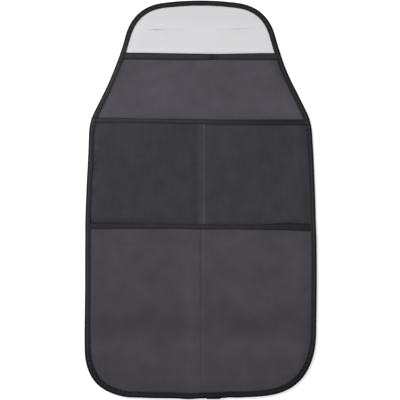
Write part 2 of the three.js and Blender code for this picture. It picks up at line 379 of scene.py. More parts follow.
def rows_between(low, high, low_is_rim=False, high_is_rim=False):
    start = low + (RIM_ROWS[-1] if low_is_rim else 0)
    stop = high - (RIM_ROWS[-1] if high_is_rim else 0)
    rows = np.linspace(start, stop, round((stop - start) / CLOTH_STEP) + 1)
    if low_is_rim:
        rows = np.concatenate([low + RIM_ROWS[:-1], rows])
    if high_is_rim:
        rows = np.concatenate([rows, high - RIM_ROWS[-2::-1]])
    return rows


def sheet_grid(rows, columns=116, fine_middle=False):
    share = np.linspace(0, 1, columns)
    if fine_middle:
        outer = share[np.abs(share - 0.5) > FINE_SHARE]
        share = np.union1d(outer, np.linspace(0.5 - FINE_SHARE, 0.5 + FINE_SHARE, FINE_COLUMNS))
    left, right = rim_at(rows, -1)[:, None], rim_at(rows, 1)[:, None]
    x = left + (right - left) * share
    return x, np.repeat(rows[:, None], len(share), axis=1)


# %% [markdown]
# ## Materials by node
#
# Every finish of the mat is a small graph. A picture could be wrapped on each sheet instead, but it
# would blur close up and run out of room at the edges. A weave is two sets of fine waves that cross, a
# tape's ribs are one set of waves along it, and slow noise keeps any of them from looking printed. The
# graphs read the place on the piece, or a value kept at each point of the mesh, and never the camera,
# so they look the same from every side.


# %% Small helpers for node graphs
def node(tree, kind, inputs=None, **settings):
    made = tree.nodes.new("ShaderNode" + kind)
    for key, value in settings.items():
        setattr(made, key, value)
    for key, value in (inputs or {}).items():
        if isinstance(value, bpy.types.NodeSocket):
            tree.links.new(value, made.inputs[key])
        else:
            made.inputs[key].default_value = value
    return made


def math_node(tree, operation, *values):
    return node(tree, "Math", dict(enumerate(values)), operation=operation).outputs[0]


def between(tree, low, high, share):
    return math_node(tree, "MULTIPLY_ADD", share, high - low, low)


def product(tree, factor, *others):
    for other in others:
        factor = math_node(tree, "MULTIPLY", factor, other)
    return factor


# %% Places and patterns
def place(tree):
    return node(tree, "TexCoord").outputs["Object"]


def kept_value(tree, name):
    return node(tree, "Attribute", attribute_name=name).outputs["Fac"]


def turned(tree, vector, degrees):
    return node(tree, "Mapping", {"Vector": vector, "Rotation": (0, 0, math.radians(degrees))}).outputs[0]


# A wave texture whose scale is 1 has 20 bands in 2 pi metres.
def ripples(tree, vector, pitch, direction, distortion=0.0):
    wave = {"Vector": vector, "Scale": 2 * math.pi / (20 * pitch), "Distortion": distortion, "Detail": 1.0}
    return node(tree, "TexWave", wave, bands_direction=direction).outputs["Fac"]


def mottle(tree, vector, size, detail=3.0):
    return node(tree, "TexNoise", {"Vector": vector, "Scale": 1 / size, "Detail": detail}).outputs["Fac"]


# %% A blank material, and how it is dressed
def blank_material(name, roughness=0.7, sheen=0.0, specular=0.06):
    material = bpy.data.materials.new(name)
    material.use_nodes = True
    tree = material.node_tree
    shader = tree.nodes["Principled BSDF"]
    shader.inputs["Roughness"].default_value = roughness
    shader.inputs["Sheen Weight"].default_value = sheen
    shader.inputs["Sheen Roughness"].default_value = 0.5
    shader.inputs["Specular IOR Level"].default_value = specular
    return material, tree, shader


def scaled_colour(tree, colour, factor):
    hsv = {"Value": factor, "Color": (*colour, 1)}
    return node(tree, "HueSaturation", hsv).outputs["Color"]


def dress(tree, shader, colour, height, strength, distance):
    relief = node(tree, "Bump", {"Height": height, "Strength": strength, "Distance": distance})
    tree.links.new(colour, shader.inputs["Base Color"])
    tree.links.new(relief.outputs["Normal"], shader.inputs["Normal"])


# %% [markdown]
# ## Woven cloth
#
# The main panel and the lower pocket are a coated polyester: a fine plain weave with a faint satin
# look. The weave's pitch is under a millimetre, far too fine to model thread by thread, so it is bump
# and a small change of colour, while the cloth's folds and swells stay in the mesh.


# %% The woven finish
def woven(name, colour, pitch=0.9 * MM):
    material, tree, shader = blank_material(name, sheen=0.08)
    at = place(tree)
    warp = ripples(tree, at, pitch, "X", distortion=0.4)
    weft = ripples(tree, at, pitch, "Y", distortion=0.4)
    weave = product(tree, warp, weft)
    slow = mottle(tree, at, 30 * MM, detail=4.0)
    fine = mottle(tree, at, 4 * MM, detail=2.0)
    drift = product(tree, between(tree, 0.78, 1.22, slow), between(tree, 0.93, 1.07, fine))
    tone = product(tree, between(tree, 0.72, 0.94, weave), drift, kept_value(tree, "tone"))
    tree.links.new(between(tree, 0.54, 0.68, slow), shader.inputs["Roughness"])
    dress(tree, shader, scaled_colour(tree, colour, tone), weave, 0.35, 0.2 * MM)
    return material


upper_cloth = woven("coated_cloth_upper", (0.0970, 0.0906, 0.1065))
lower_cloth = woven("coated_cloth_lower", (0.0775, 0.0732, 0.0848))
print("woven finishes:", upper_cloth.name, "and", lower_cloth.name)

# %% [markdown]
# ## The main panel
#
# One sheet of cloth reaches from under the join tape to the bottom edge, and both pockets are sewn on
# it. Most of it is hidden, yet it is made whole, because it shows through the pockets' mouths and on
# the mat's back.

# %% The main panel
UNDER_JOIN = 4 * MM
rows = rows_between(SHEET_FOOT, JOIN_TOP - UNDER_JOIN, low_is_rim=True)
x, y = sheet_grid(rows)
height = MAIN_TOP + settle(x, y)
main_panel = shell("main_cloth_panel", x, y, height, CLOTH, upper_cloth, "main_panel")


# %% The upper cloth's tone
# Painted light: paler left of the middle, towards the pocket and on folds. Painted shade: darker by the
# binding.
def upper_tone(x, y):
    tone = 1 + 0.06 * beside(x, -66 * MM, 28 * MM) - 0.04 * beside(x, 14 * MM, 4 * MM)
    tone += 0.07 * smooth((220 * MM - y) / (70 * MM)) + soft_folds(x, y, 1)
    left_edge = smooth((rim_at(y, -1) + 38 * MM - x) / (25 * MM))
    right_edge = smooth((x - rim_at(y, 1) + 28 * MM) / (18 * MM))
    tone -= 0.13 * left_edge * smooth((y - 160 * MM) / (30 * MM))
    return tone - (0.06 + 0.14 * smooth((y - 195 * MM) / (30 * MM))) * right_edge


keep_value(main_panel, "tone", upper_tone)

# %% [markdown]
# ## The frosted film
#
# The top panel is a matt, translucent plastic film. It has two slits for the posts of a headrest. A
# slit could be a dark line in the material, but then light would not fall through it. Here two thin
# lens-shaped cutters are taken out of the film's shell with a boolean.


# %% The frosted finish
def frosted(name, colour):
    material, tree, shader = blank_material(name, roughness=0.42, specular=0.35)
    at = place(tree)
    drift = between(tree, 0.985, 1.015, mottle(tree, at, 60 * MM))
    grain = mottle(tree, at, 1.2 * MM, detail=2.0)
    tone = product(tree, drift, kept_value(tree, "tone"))
    dress(tree, shader, scaled_colour(tree, colour, tone), grain, 0.12, 0.1 * MM)
    shader.inputs["Subsurface Weight"].default_value = 0.15
    shader.inputs["Subsurface Radius"].default_value = (2 * MM, 2 * MM, 2 * MM)
    return material


film_finish = frosted("frosted_film", (0.697, 0.695, 0.708))

# %% Where the slits lie, and how far they gape
SLIT_SPACING = 120 * MM
SLIT_LENGTH = 62 * MM
SLIT_DROP = 50.1 * MM
SLIT_TILT = 1.2 * MM
# Where each slit gapes most, as a share of its half length, how wide it is there and how deep its shade.
SLITS = {-1: (-0.45, 0.6 * MM, 0.4), 1: (0.26, 0.5 * MM, 0.22)}
SHUT_GAP = 0.22 * MM


def slit_level(side, t):
    return TOP_EDGE - SLIT_DROP + (SLIT_TILT * t if side > 0 else -SLIT_TILT)


def gaping(t, widest_at):
    return np.exp(-(((t - widest_at) / np.where(t < widest_at, 0.38, 0.12)) ** 2))


print(f"slits: {SLIT_LENGTH * 1000:.0f} mm long")

# %% The film
FILM_REACH_UNDER_TAPE = 11 * MM


def film_height(x, y):
    fade = smooth((rim_distance(x, y) - BINDING_WIDTH) / (15 * MM))
    curl = sum(beside(x, side * SLIT_SPACING / 2, 26 * MM) for side in (-1, 1))
    lips = curl * beside(y, TOP_EDGE - SLIT_DROP, 7 * MM) * 0.5 * MM
    return FILM_TOP + fade * (0.35 * MM * (soft_waves(x, y, 0.08, seed=21) + 2).clip(0, 4) / 2 + lips)


rows = rows_between(JOIN_TOP - FILM_REACH_UNDER_TAPE, TOP_EDGE - RIM_INSET, high_is_rim=True)
slit_middle = TOP_EDGE - SLIT_DROP
rows = np.union1d(rows[np.abs(rows - slit_middle) > 5 * MM], slit_middle + np.linspace(-4, 4, 9) * MM)
x, y = sheet_grid(rows, columns=90)
film = shell("frosted_film_panel", x, y, film_height(x, y), FILM, film_finish, "top_panel")


# %% Cut the slits
def slit_cutter(side):
    count = 25
    t = np.linspace(-1, 1, count)
    reach = SLIT_LENGTH / 2
    widest_at, gap, _ = SLITS[side]
    half = (SHUT_GAP + (gap - SHUT_GAP) * gaping(t, widest_at)) / 2 * (1 - t**2) ** 0.5
    along = side * SLIT_SPACING / 2 + reach * t
    level = slit_level(side, t)
    upper = list(zip(along, level + half))[::-1]
    lower = list(zip(along, level - half))[1:-1]
    loop = upper + lower
    size = len(loop)
    points = [(px, py, z) for z in (-5 * MM, 8 * MM) for px, py in loop]
    walls = [(i, (i + 1) % size, (i + 1) % size + size, i + size) for i in range(size)]
    mesh = bpy.data.meshes.new("slit_cutter")
    mesh.from_pydata(points, [], walls + [tuple(range(size))[::-1], tuple(range(size, 2 * size))])
    cutter = bpy.data.objects.new("slit_cutter", mesh)
    bpy.context.scene.collection.objects.link(cutter)
    return cutter


def cut_out(piece, cutter):
    modifier = piece.modifiers.new("cut", "BOOLEAN")
    modifier.object = cutter
    modifier.solver = "EXACT"
    graph = bpy.context.evaluated_depsgraph_get()
    cut = bpy.data.meshes.new_from_object(piece.evaluated_get(graph))
    piece.modifiers.clear()
    cut.set_sharp_from_angle(angle=math.radians(30))
    piece.data = cut
    bpy.data.objects.remove(cutter)


for side in SLITS:
    cut_out(film, slit_cutter(side))
print(f"film: {len(film.data.polygons)} faces after the slits")


# %% The film's tone
# Painted shade along a slit's curled lips, most where it gapes, and along a faint crease above it.
def film_tone(x, y):
    # Darker towards the top edge, and painted light just above the join tape, against the tape's shadow.
    tone = 1.0 - 0.05 * smooth((y - 295 * MM) / (30 * MM)) + 0.04 * beside(y, JOIN_TOP + 3 * MM, 5 * MM)
    for side, (widest_at, _, depth) in SLITS.items():
        t = (x - side * SLIT_SPACING / 2) / (SLIT_LENGTH / 2)
        shade = (np.abs(t) < 1) * (0.05 + depth * gaping(t, widest_at))
        tone = tone - shade * beside(y, slit_level(side, t), 1.1 * MM)
        tone = tone - 0.035 * beside(t, widest_at, 0.5) * beside(y, slit_level(side, t) + 5 * MM, 1.5 * MM)
    return tone


keep_value(film, "tone", film_tone)

# %% [markdown]
# ## Hand sewing
#
# Tape that is sewn by hand and eye never runs quite straight. The mesh pocket's tape drops a little to
# the right, and the lower pocket's widens at both ends. Noise could make them waver too, but not where
# this mat does. So each band's width, its drop and the depth of its colour with its painted light and
# shade are given at nine places across the mat, and the pockets' upper edges follow the same drops.

# %% How each mouth tape runs across the mat
# The tone rows are painted light and shade, darker mostly towards the right.
PLACES_ACROSS = [-0.19, -0.15, -0.1, -0.04, 0.0, 0.035, 0.1, 0.155, 0.19]
JOIN_TAPE_WIDTH = [12.2, 12.2, 11.8, 11.8, 11.2, 10.4, 12.1, 12.2, 12.2]
JOIN_TAPE_DROP = [0.0, 0.0, 0.6, 1.6, 2.1, 2.6, 1.2, 0.9, 0.9]
JOIN_TAPE_TONE = [0.9, 0.9, 0.89, 0.9, 0.89, 0.78, 0.82, 0.8, 0.8]
MESH_TAPE_WIDTH = [8.9, 8.7, 7.4, 8.3, 8.7, 9.1, 9.7, 9.8, 9.8]
MESH_TAPE_DROP = [-1.0, -0.9, 1.1, 1.0, 1.4, 2.6, 2.6, 2.2, 2.1]
MESH_TAPE_TONE = [0.86, 0.85, 0.81, 0.92, 0.79, 0.645, 0.52, 0.455, 0.45]
LOWER_TAPE_WIDTH = [11.7, 11.4, 9.7, 8.3, 9.4, 8.2, 9.4, 13.5, 13.5]
LOWER_TAPE_DROP = [-1.7, -1.6, -0.3, 1.05, 1.3, 2.2, 1.6, -1.4, 0.8]
LOWER_TAPE_TONE = [0.61, 0.57, 0.64, 0.73, 0.65, 0.58, 0.575, 0.49, 0.44]


def along_band(x, values):
    return np.interp(x, PLACES_ACROSS, values)


MOUTH_REACH = 60 * MM


def follow_mouth(x, y, mouth, drop):
    near = smooth((y - mouth + MOUTH_REACH) / MOUTH_REACH)
    return y - near * along_band(x, drop) * MM


print(f"the join tape drops by up to {max(JOIN_TAPE_DROP)} mm")

# %% [markdown]
# ## Pocket cloth
#
# Each pocket is sewn down at its sides, its foot and along the mat's middle, so its two halves swell
# between the seams and gape at the mouth. It could be made as two halves, but a maker cuts one sheet,
# and one sheet keeps its weave running across. The seam itself lies in a narrow groove with a soft
# swell on either side.

# %% How the lower pocket lies
SEAM_GROOVE = 0.55 * MM
LOWER_SEAM_X = 0.4 * MM


def lower_lift(x, y):
    groove = beside(x, LOWER_SEAM_X, 1.6 * MM) * SEAM_GROOVE * (0.3 + 0.7 * smooth((y + 0.22) / 0.1))
    swell = beside(x, LOWER_SEAM_X - 14 * MM, 9 * MM) * 0.9 * MM
    swell = swell + beside(x, LOWER_SEAM_X + 6 * MM, 4 * MM) * 0.5 * MM
    fade = smooth((y - BOTTOM_EDGE - BINDING_WIDTH) / (20 * MM))
    return settle(x, y) + gape(x, y, LOWER_MOUTH, LOWER_GAPE_DEPTH) + fade * (swell - groove)


def lower_height(x, y):
    return LOWER_BOTTOM + CLOTH + lower_lift(x, y)


# %% The lower pocket
rows = rows_between(SHEET_FOOT, LOWER_MOUTH - TAPE, low_is_rim=True)
x, y = sheet_grid(rows, columns=140, fine_middle=True)
y = follow_mouth(x, y, LOWER_MOUTH, LOWER_TAPE_DROP)
height = lower_height(x, y)
lower_pocket = shell("lower_pocket_cloth", x, y, height, CLOTH, lower_cloth, "lower_pocket")


# %% The lower pocket's tone
# Painted highlight on the swells beside the lower seam, and painted shade along the seam.
def seam_tone(x, y, near_mouth):
    swell = beside(x, LOWER_SEAM_X - (16 + 12 * near_mouth) * MM, (13 + 11 * near_mouth) * MM)
    tone = (0.08 + 0.04 * near_mouth) * swell + 0.05 * beside(x, LOWER_SEAM_X - 6 * MM, 4 * MM)
    tone += (0.05 - 0.05 * near_mouth) * beside(x, LOWER_SEAM_X + 7 * MM, 4.5 * MM)
    # The painted shade along the seam is deepest in the slack cloth near the mouth, and once more below.
    depth = 0.15 + 0.85 * smooth((y + 196 * MM) / (16 * MM)) + 0.8 * beside(y, -268 * MM, 9 * MM)
    return tone - 0.22 * depth * beside(x, LOWER_SEAM_X, 1.6 * MM)


def lower_tone(x, y):
    near_mouth = smooth((y + 220 * MM) / (100 * MM))
    # Painted light makes it paler towards the right; the seam and the folds add their painted light and
    # shade.
    tone = 1 + 0.2 * x + seam_tone(x, y, near_mouth) + soft_folds(x, y, 1)
    # Painted highlight where the cloth swells to its mouth makes it paler left of each half's middle.
    tone += near_mouth * (0.04 * beside(x, -55 * MM, 24 * MM) + 0.035 * beside(x, 132 * MM, 20 * MM))
    # Painted shade darkens it there right of the seam.
    tone -= near_mouth * (0.06 * beside(x, 18 * MM, 12 * MM) + 0.03 * beside(x, 45 * MM, 26 * MM))
    # Broad bands of painted light and shade from its folds lie across it, and it is darker at the bottom.
    tone += 0.05 * smooth((y + 190 * MM) / (30 * MM)) + 0.05 * beside(y, -98 * MM, 18 * MM)
    tone += 0.07 * beside(y, -259 * MM, 14 * MM) - 0.07 * beside(y, -222 * MM, 26 * MM)
    tone -= 0.06 * smooth((-285 * MM - y) / (30 * MM))
    # Painted shade on the left edge but for a painted highlight strip beside the tape, and on the right
    # edge below.
    tone -= 0.04 * smooth((-150 * MM - x) / (20 * MM))
    tone += 0.09 * beside(rim_distance(x, y), 13 * MM, 3.5 * MM) * smooth((-110 * MM - x) / (40 * MM))
    low = smooth((-160 * MM - y) / (30 * MM))
    return tone - 0.18 * low * beside(x, rim_at(y, 1) - 12 * MM, 4 * MM)


keep_value(lower_pocket, "tone", lower_tone)

# %% [markdown]
# ## Mesh cloth
#
# The upper pocket is a fine net. Its holes are about a millimetre wide, tens of thousands of them, so
# they are drawn by the material: three sets of waves, 60 degrees apart, dark where all of them dip.
# Modelled holes would make millions of faces. Down the middle the mesh is tucked double along the seam,
# which reads as a paler line. Near its seams it lies close on the cloth behind and takes on the cloth's
# violet tint.


# %% The mesh finish
def netting(name, colour, tinted, pitch=1.5 * MM):
    material, tree, shader = blank_material(name, sheen=0.05)
    at = place(tree)
    first = ripples(tree, turned(tree, at, 60), pitch, "X")
    second = ripples(tree, turned(tree, at, -60), pitch, "X")
    third = ripples(tree, at, pitch, "X", distortion=0.3)
    net = math_node(tree, "MAXIMUM", math_node(tree, "MAXIMUM", first, second), third)
    drawn_out = node(tree, "Mapping", {"Vector": at, "Scale": (1, 0.12, 1)}).outputs[0]
    slow = mottle(tree, at, 28 * MM, detail=4.0)
    streaks = mottle(tree, drawn_out, 4 * MM, detail=2.0)
    drift = product(tree, between(tree, 0.75, 1.25, slow), between(tree, 0.88, 1.12, streaks))
    tone = product(tree, between(tree, 0.55, 1.1, net), drift, kept_value(tree, "tone"))
    plain, violet = scaled_colour(tree, colour, tone), scaled_colour(tree, tinted, tone)
    mixed = node(tree, "Mix", {0: kept_value(tree, "tint"), 6: plain, 7: violet}, data_type="RGBA")
    dress(tree, shader, mixed.outputs[2], net, 0.5, 0.25 * MM)
    return material


mesh_finish = netting("pocket_netting", (0.0446, 0.0442, 0.0479), (0.0456, 0.0437, 0.0525))
print("mesh finish:", mesh_finish.name)

# %% How the mesh lies
MESH_SEAM_X = 2.6 * MM
TUCK_X = MESH_SEAM_X + 3.8 * MM
TUCK_REACH = 1.7 * MM
SMALL_TUCK_X = MESH_SEAM_X - 2.9 * MM
SMALL_TUCK_REACH = 1.1 * MM
# Puckers of the mesh at its left seam: place along the mat, reach, and how pale its painted highlight
# makes it.
SEAM_PUCKERS = [
    (112 * MM, 7 * MM, 0.2),
    (92 * MM, 7 * MM, 0.36),
    (56 * MM, 12 * MM, -0.12),
    (28 * MM, 7 * MM, 0.3),
    (-8 * MM, 12 * MM, 0.24),
]


def seam_puckers(x, y):
    along = sum(pale * beside(y, at, reach) for at, reach, pale in SEAM_PUCKERS)
    return along * beside(x, rim_at(y, -1) + 12.5 * MM, 4.5 * MM)


def mesh_lift(x, y):
    groove = beside(x, MESH_SEAM_X, 1.2 * MM) * 0.3 * MM
    tuck = beside(x, TUCK_X, TUCK_REACH) * 0.6 * MM + beside(x, SMALL_TUCK_X, SMALL_TUCK_REACH) * 0.3 * MM
    tuck = tuck + seam_puckers(x, y) * 1.5 * MM
    return settle(x, y) + gape(x, y, MESH_MOUTH, MESH_GAPE_DEPTH) + tuck - groove


def mesh_height(x, y):
    return MESH_BOTTOM + MESH + mesh_lift(x, y)


# %% The mesh pocket
rows = rows_between(MESH_FOOT, MESH_MOUTH - TAPE)
x, y = sheet_grid(rows, columns=150, fine_middle=True)
y = follow_mouth(x, y, MESH_MOUTH, MESH_TAPE_DROP)
height = mesh_height(x, y)
mesh_pocket = shell("mesh_pocket_cloth", x, y, height, MESH, mesh_finish, "mesh_pocket")


# %% The mesh's tone and tint
def mesh_tone(x, y):
    tone = 1 + 0.42 * beside(x, TUCK_X, TUCK_REACH) + 0.22 * beside(x, SMALL_TUCK_X, SMALL_TUCK_REACH)
    # Painted light just right of the seam, and painted shade left of it.
    tone += 0.08 * beside(x, MESH_SEAM_X + 1 * MM, 8 * MM) - 0.1 * beside(x, MESH_SEAM_X - 13 * MM, 6 * MM)
    tone += 0.25 * beside(x, MESH_SEAM_X, 5 * MM) * beside(y, -34 * MM, 6 * MM)
    # Painted highlight on the puckers, painted paler towards the right, and painted shade further right of
    # the seam.
    tone += seam_puckers(x, y) + 0.25 * x - 0.035 * beside(x, MESH_SEAM_X + 24 * MM, 16 * MM)
    # Painted shade left of the seam, near the mesh's foot.
    tone -= 0.05 * smooth((60 * MM - y) / (50 * MM)) * beside(x, MESH_SEAM_X - 11 * MM, 7 * MM)
    # Painted shadow of the lower tape darkens it just above that tape, at its left end and near its right
    # one.
    tape_shadow = smooth((-105 * MM - x) / (30 * MM)) + beside(x, 160 * MM, 12 * MM)
    tone -= 0.2 * smooth((-30 * MM - y) / (10 * MM)) * tape_shadow
    # Painted shade beside the binding on the right.
    return tone - 0.12 * smooth((x - rim_at(y, 1) + 30 * MM) / (18 * MM))


def mesh_tint(x, y):
    high = smooth((y + 20 * MM) / (80 * MM))
    left = smooth(((28 + 30 * high) * MM - x + rim_at(y, -1)) / (10 * MM))
    middle = smooth((x + 20 * MM) / (6 * MM)) * smooth(((12 + 16 * high) * MM - x) / (6 * MM))
    right = high * smooth((x - rim_at(y, 1) + 38 * MM) / (10 * MM))
    return np.clip(left + middle + right, 0, 1)


keep_value(mesh_pocket, "tone", mesh_tone)
keep_value(mesh_pocket, "tint", mesh_tint)

# %% [markdown]
# ## Ribbed tape
#
# The binding and the hems are the same kind of tape, woven with fine ribs across it. There are well
# over a thousand round the rim, too many to model, so the material draws them. Its outer edge and the
# groove of its stitches are painted darker than its swollen middle, as painted shade and highlight. The
# material reads three values that each point of the mesh keeps: how far along the tape it is, how far
# across, and how deep its colour is there with its painted light and shade.


# %% The tape finish
def ribbed(name, colour, pitch=1.1 * MM):
    material, tree, shader = blank_material(name, sheen=0.05)
    strip = node(tree, "Attribute", attribute_name="strip").outputs["Vector"]
    depth = node(tree, "SeparateXYZ", {"Vector": strip}).outputs["Z"]
    ribs = ripples(tree, strip, pitch, "X", distortion=0.3)
    drift = between(tree, 0.8, 1.2, mottle(tree, place(tree), 12 * MM))
    tone = product(tree, between(tree, 0.75, 1.1, ribs), drift, depth)
    dress(tree, shader, scaled_colour(tree, colour, tone), ribs, 0.5, 0.25 * MM)
    return material


binding_finish = ribbed("binding_ribbed_tape", (0.0302, 0.0288, 0.0325))
hem_finish = ribbed("hem_ribbed_tape", (0.0428, 0.0396, 0.0472))
print("tape finishes:", binding_finish.name, "and", hem_finish.name)

# %% [markdown]
# ## The section of a folded tape
#
# A binding is a tape folded in half over an edge. Seen end on it is a U on its side, with a round fold,
# a swollen front leg and a groove where the stitches pull it down. A bevelled curve would give a plain
# round cord. So the section is drawn point by point, as a closed loop: each point has its distance in
# from the fold, its height, and its share across. The same section serves the rim and the hems.

# %% The folded section
FOLD_BULGE = 1.3 * MM
TAPE_SWELL = 0.8 * MM
STITCH_SHARE = 0.7
# The section's points: shares of the leg's width on the back and the front, and how many round the fold.
BACK_SHARES = [1.0, 0.75, 0.5, 0.25]
FOLD_POINTS = 9
FRONT_SHARES = [0.2, 0.3, 0.4, 0.5, 0.6, 0.68, 0.74, 0.8, 0.86, 0.92, 0.97]
OUTER_POINTS = slice(len(BACK_SHARES), len(BACK_SHARES) + FOLD_POINTS + len(FRONT_SHARES))


def front_height(share, top):
    swell = TAPE_SWELL * np.sin(math.pi * np.clip(share, 0, 1)) ** 0.7
    groove = 0.35 * MM * np.exp(-(((share - STITCH_SHARE) / 0.07) ** 2))
    return top + swell - groove


def folded_section(width, bottom, top):
    width, bottom, top = (np.asarray(value, float)[..., None] for value in (width, bottom, top))
    turn = np.linspace(-math.pi / 2, math.pi / 2, FOLD_POINTS)
    front, back = np.array(FRONT_SHARES), np.array(BACK_SHARES)
    fold_in = FOLD_BULGE * (1 - np.cos(turn)) + 0 * width
    fold_up = (bottom + top) / 2 + (top - bottom) / 2 * np.sin(turn)
    lean = np.clip(turn / (math.pi / 2), 0, 1) ** 2
    fold_up = fold_up + lean * (front_height(FOLD_BULGE / width, top) - top)
    inner = TAPE + 0 * width
    insets = [back * width, fold_in, front * width, width, width, inner, inner, width]
    ups = [bottom + 0 * back, fold_up, front_height(front, top), top - 0.1 * MM, top - TAPE, top - TAPE,
           bottom + TAPE, bottom + TAPE]
    shares = [back, np.linspace(0.1, 0.13, FOLD_POINTS), front, [1.0], [1.0], [0.5], [0.5], [1.0]]
    shape = np.broadcast_shapes(*(np.shape(part)[:-1] for part in insets + ups))
    wide = [np.broadcast_to(part, shape + np.shape(part)[-1:]) for part in insets]
    tall = [np.broadcast_to(part, shape + np.shape(part)[-1:]) for part in ups]
    share = np.concatenate([np.asarray(part, float) for part in shares])
    return np.concatenate(wide, -1), np.concatenate(tall, -1), share


print(f"a folded section has {len(folded_section(10 * MM, 0, 2 * MM)[2])} points")


# %% A tube lofted through sections
def loft(name, points, finish, replaces=None, closed=True):
    stations, around = points.shape[:2]
    index = np.arange(stations * around).reshape(stations, around)
    ahead = np.roll(index, -1, axis=0)
    if not closed:
        index, ahead = index[:-1], ahead[:-1]
    corners = [index, ahead, np.roll(ahead, -1, axis=1), np.roll(index, -1, axis=1)]
    faces = np.stack(corners, -1).reshape(-1, 4).tolist()
    if not closed:
        first = list(range(around))
        faces += [first, [(stations - 1) * around + i for i in reversed(first)]]
    return finish_piece(name, points.reshape(-1, 3), faces, finish, replaces)


# %% The tape's painted light and shade across its width
# Each profile paints shade on the tape's edges, and on the binding's stitch groove, and a highlight on its
# crown.
PROFILE_AT = [0.1, 0.13, 0.22, 0.32, 0.45, 0.56, 0.7, 0.8, 0.92, 1.0]
BINDING_PROFILE = [0.25, 0.25, 0.24, 0.65, 1.75, 1.2, 0.48, 0.85, 1.1, 1.1]
HEM_PROFILE = [0.67, 0.73, 0.84, 1.17, 1.29, 1.23, 1.12, 1.06, 0.95, 0.9]
JOIN_PROFILE = [0.4, 0.6, 1.0, 1.05, 1.1, 1.1, 1.0, 0.8, 0.5, 0.6]


def keep_strip(piece, along, share, tone, profile):
    strip = np.zeros((len(along), len(share), 3))
    strip[..., 0] = along[:, None]
    strip[..., 1] = share
    strip[..., 2] = tone[:, None] * np.interp(share, PROFILE_AT, profile)
    layer = piece.data.attributes.new("strip", "FLOAT_VECTOR", "POINT")
    layer.data.foreach_set("vector", strip.ravel())


# %% [markdown]
# ## The edge binding
#
# The binding runs once round the rim. It is thin at the film and thicker where it also holds the
# pockets, and it climbs from one height to the next just before each mouth. One fixed section swept by
# Blender could not do that, so the section is worked out anew at each step round the outline. At the
# bottom edge its two ends lap.

# %% How high the binding stands
TOP_SLACK = 0.3 * MM
CLIMB_LEAD = 6.3 * MM
CLIMB_LENGTH = 5 * MM
STACK_TOPS = [
    (LOWER_MOUTH, LOWER_BOTTOM + CLOTH + HEM_RISE),
    (MESH_MOUTH, MESH_BOTTOM + MESH + HEM_RISE),
    (JOIN_TOP, MAIN_TOP + TAPE),
]


def stack_top(y):
    height = np.full_like(y, FILM_TOP)
    for mouth, top in reversed(STACK_TOPS):
        above = smooth((y - mouth - CLIMB_LEAD) / CLIMB_LENGTH)
        height = top + (height - top) * above
    return height + TOP_SLACK


print(f"under the binding: {stack_top(np.array([TOP_EDGE, BOTTOM_EDGE])) * 1000} mm")

# %% How wide the binding is
# The front leg's width in mm and its painted light and shade, along the mat, down its left and right
# sides.
BINDING_PLACES = [-0.35, -0.31, -0.22, 0.0, 0.15, 0.22, 0.3, 0.35]
LEFT_WIDTHS = [10.9, 12.1, 9.2, 8.9, 8.7, 7.9, 9.2, 9.1]
RIGHT_WIDTHS = [11.0, 11.0, 9.8, 9.7, 10.2, 10.0, 9.8, 9.1]
LEFT_TONES = [0.53, 0.54, 1.0, 1.2, 1.3, 1.5, 0.87, 0.64]
RIGHT_TONES = [0.43, 0.4, 0.78, 0.97, 0.82, 0.72, 0.74, 0.64]


def along_binding(line, left_values, right_values):
    x, y = line.T
    left = np.interp(y, BINDING_PLACES, left_values)
    right = np.interp(y, BINDING_PLACES, right_values)
    return left + (right - left) * smooth(x / 0.08 + 0.5)


def binding_width(line):
    return along_binding(line, LEFT_WIDTHS, RIGHT_WIDTHS) * MM


print(f"the binding is {binding_width(ring).min() * 1000:.1f} mm wide or more")

# %% Puckers, where a straight tape goes round a curve
PUCKER_HEIGHT = 0.22 * MM
PUCKER_LENGTH = 9 * MM

heading = np.unwrap(np.arctan2(ring_inward[:, 1], ring_inward[:, 0]))
curvature = np.abs(np.gradient(heading)) / RING_STEP
puckered = smooth((np.convolve(curvature, np.ones(9) / 9, "same") - 4) / 6)
pucker_wave = puckered * np.sin(2 * math.pi * ring_along / PUCKER_LENGTH)
pucker = PUCKER_HEIGHT * pucker_wave
print(f"puckered: {(puckered > 0).mean():.0%} of the rim")

# %% Loft the binding round the rim
WIDTH_WOBBLE = 0.08 * MM


def binding_points(on):
    line, y = ring[on], ring[on, 1]
    wobble = WIDTH_WOBBLE * soft_waves(line[:, 0], line[:, 1], 0.02, seed=31)
    inset, height, share = folded_section(binding_width(line) + wobble, 0 * y, stack_top(y) + TAPE)
    height = height + pucker[on, None] * np.sin(math.pi * share) * (height > TAPE)
    at = line[:, None, :] + ring_inward[on, None, :] * inset[..., None]
    return np.concatenate([at, height[..., None]], -1), share


points, share = binding_points(np.arange(len(ring)))
edge_binding = loft("edge_binding_tape", points, binding_finish, "edge_binding")
# Painted highlight on each pucker's crest and painted shade in its trough.
binding_tone = along_binding(ring, LEFT_TONES, RIGHT_TONES) * (1 + 0.3 * pucker_wave)
keep_strip(edge_binding, ring_along, share, binding_tone, BINDING_PROFILE)

# %% The binding's second end, over the first
LAP_START = 10.5 * MM
LAP_END = 36 * MM
LAP_OVERHANG = 1.1 * MM
LAP_GAP = 0.06 * MM
on_lap = np.flatnonzero((ring[:, 1] < 0) & (ring[:, 0] > LAP_START) & (ring[:, 0] < LAP_END))
lap_points, share = binding_points(on_lap)
under = lap_points[:, OUTER_POINTS]
outside = under.copy()
outside[:, :, 1] -= LAP_OVERHANG * smooth((BOTTOM_EDGE + 4 * MM - under[:, :, 1]) / (3 * MM))
outside[:, :, 2] += TAPE + 2 * LAP_GAP
inside = under[:, ::-1].copy()
inside[:, :, 2] += LAP_GAP
lap_points = np.concatenate([outside, inside], 1)
lap = loft("binding_lap_end", lap_points, binding_finish, closed=False)
lap_share = np.concatenate([share[OUTER_POINTS], share[OUTER_POINTS][::-1]])
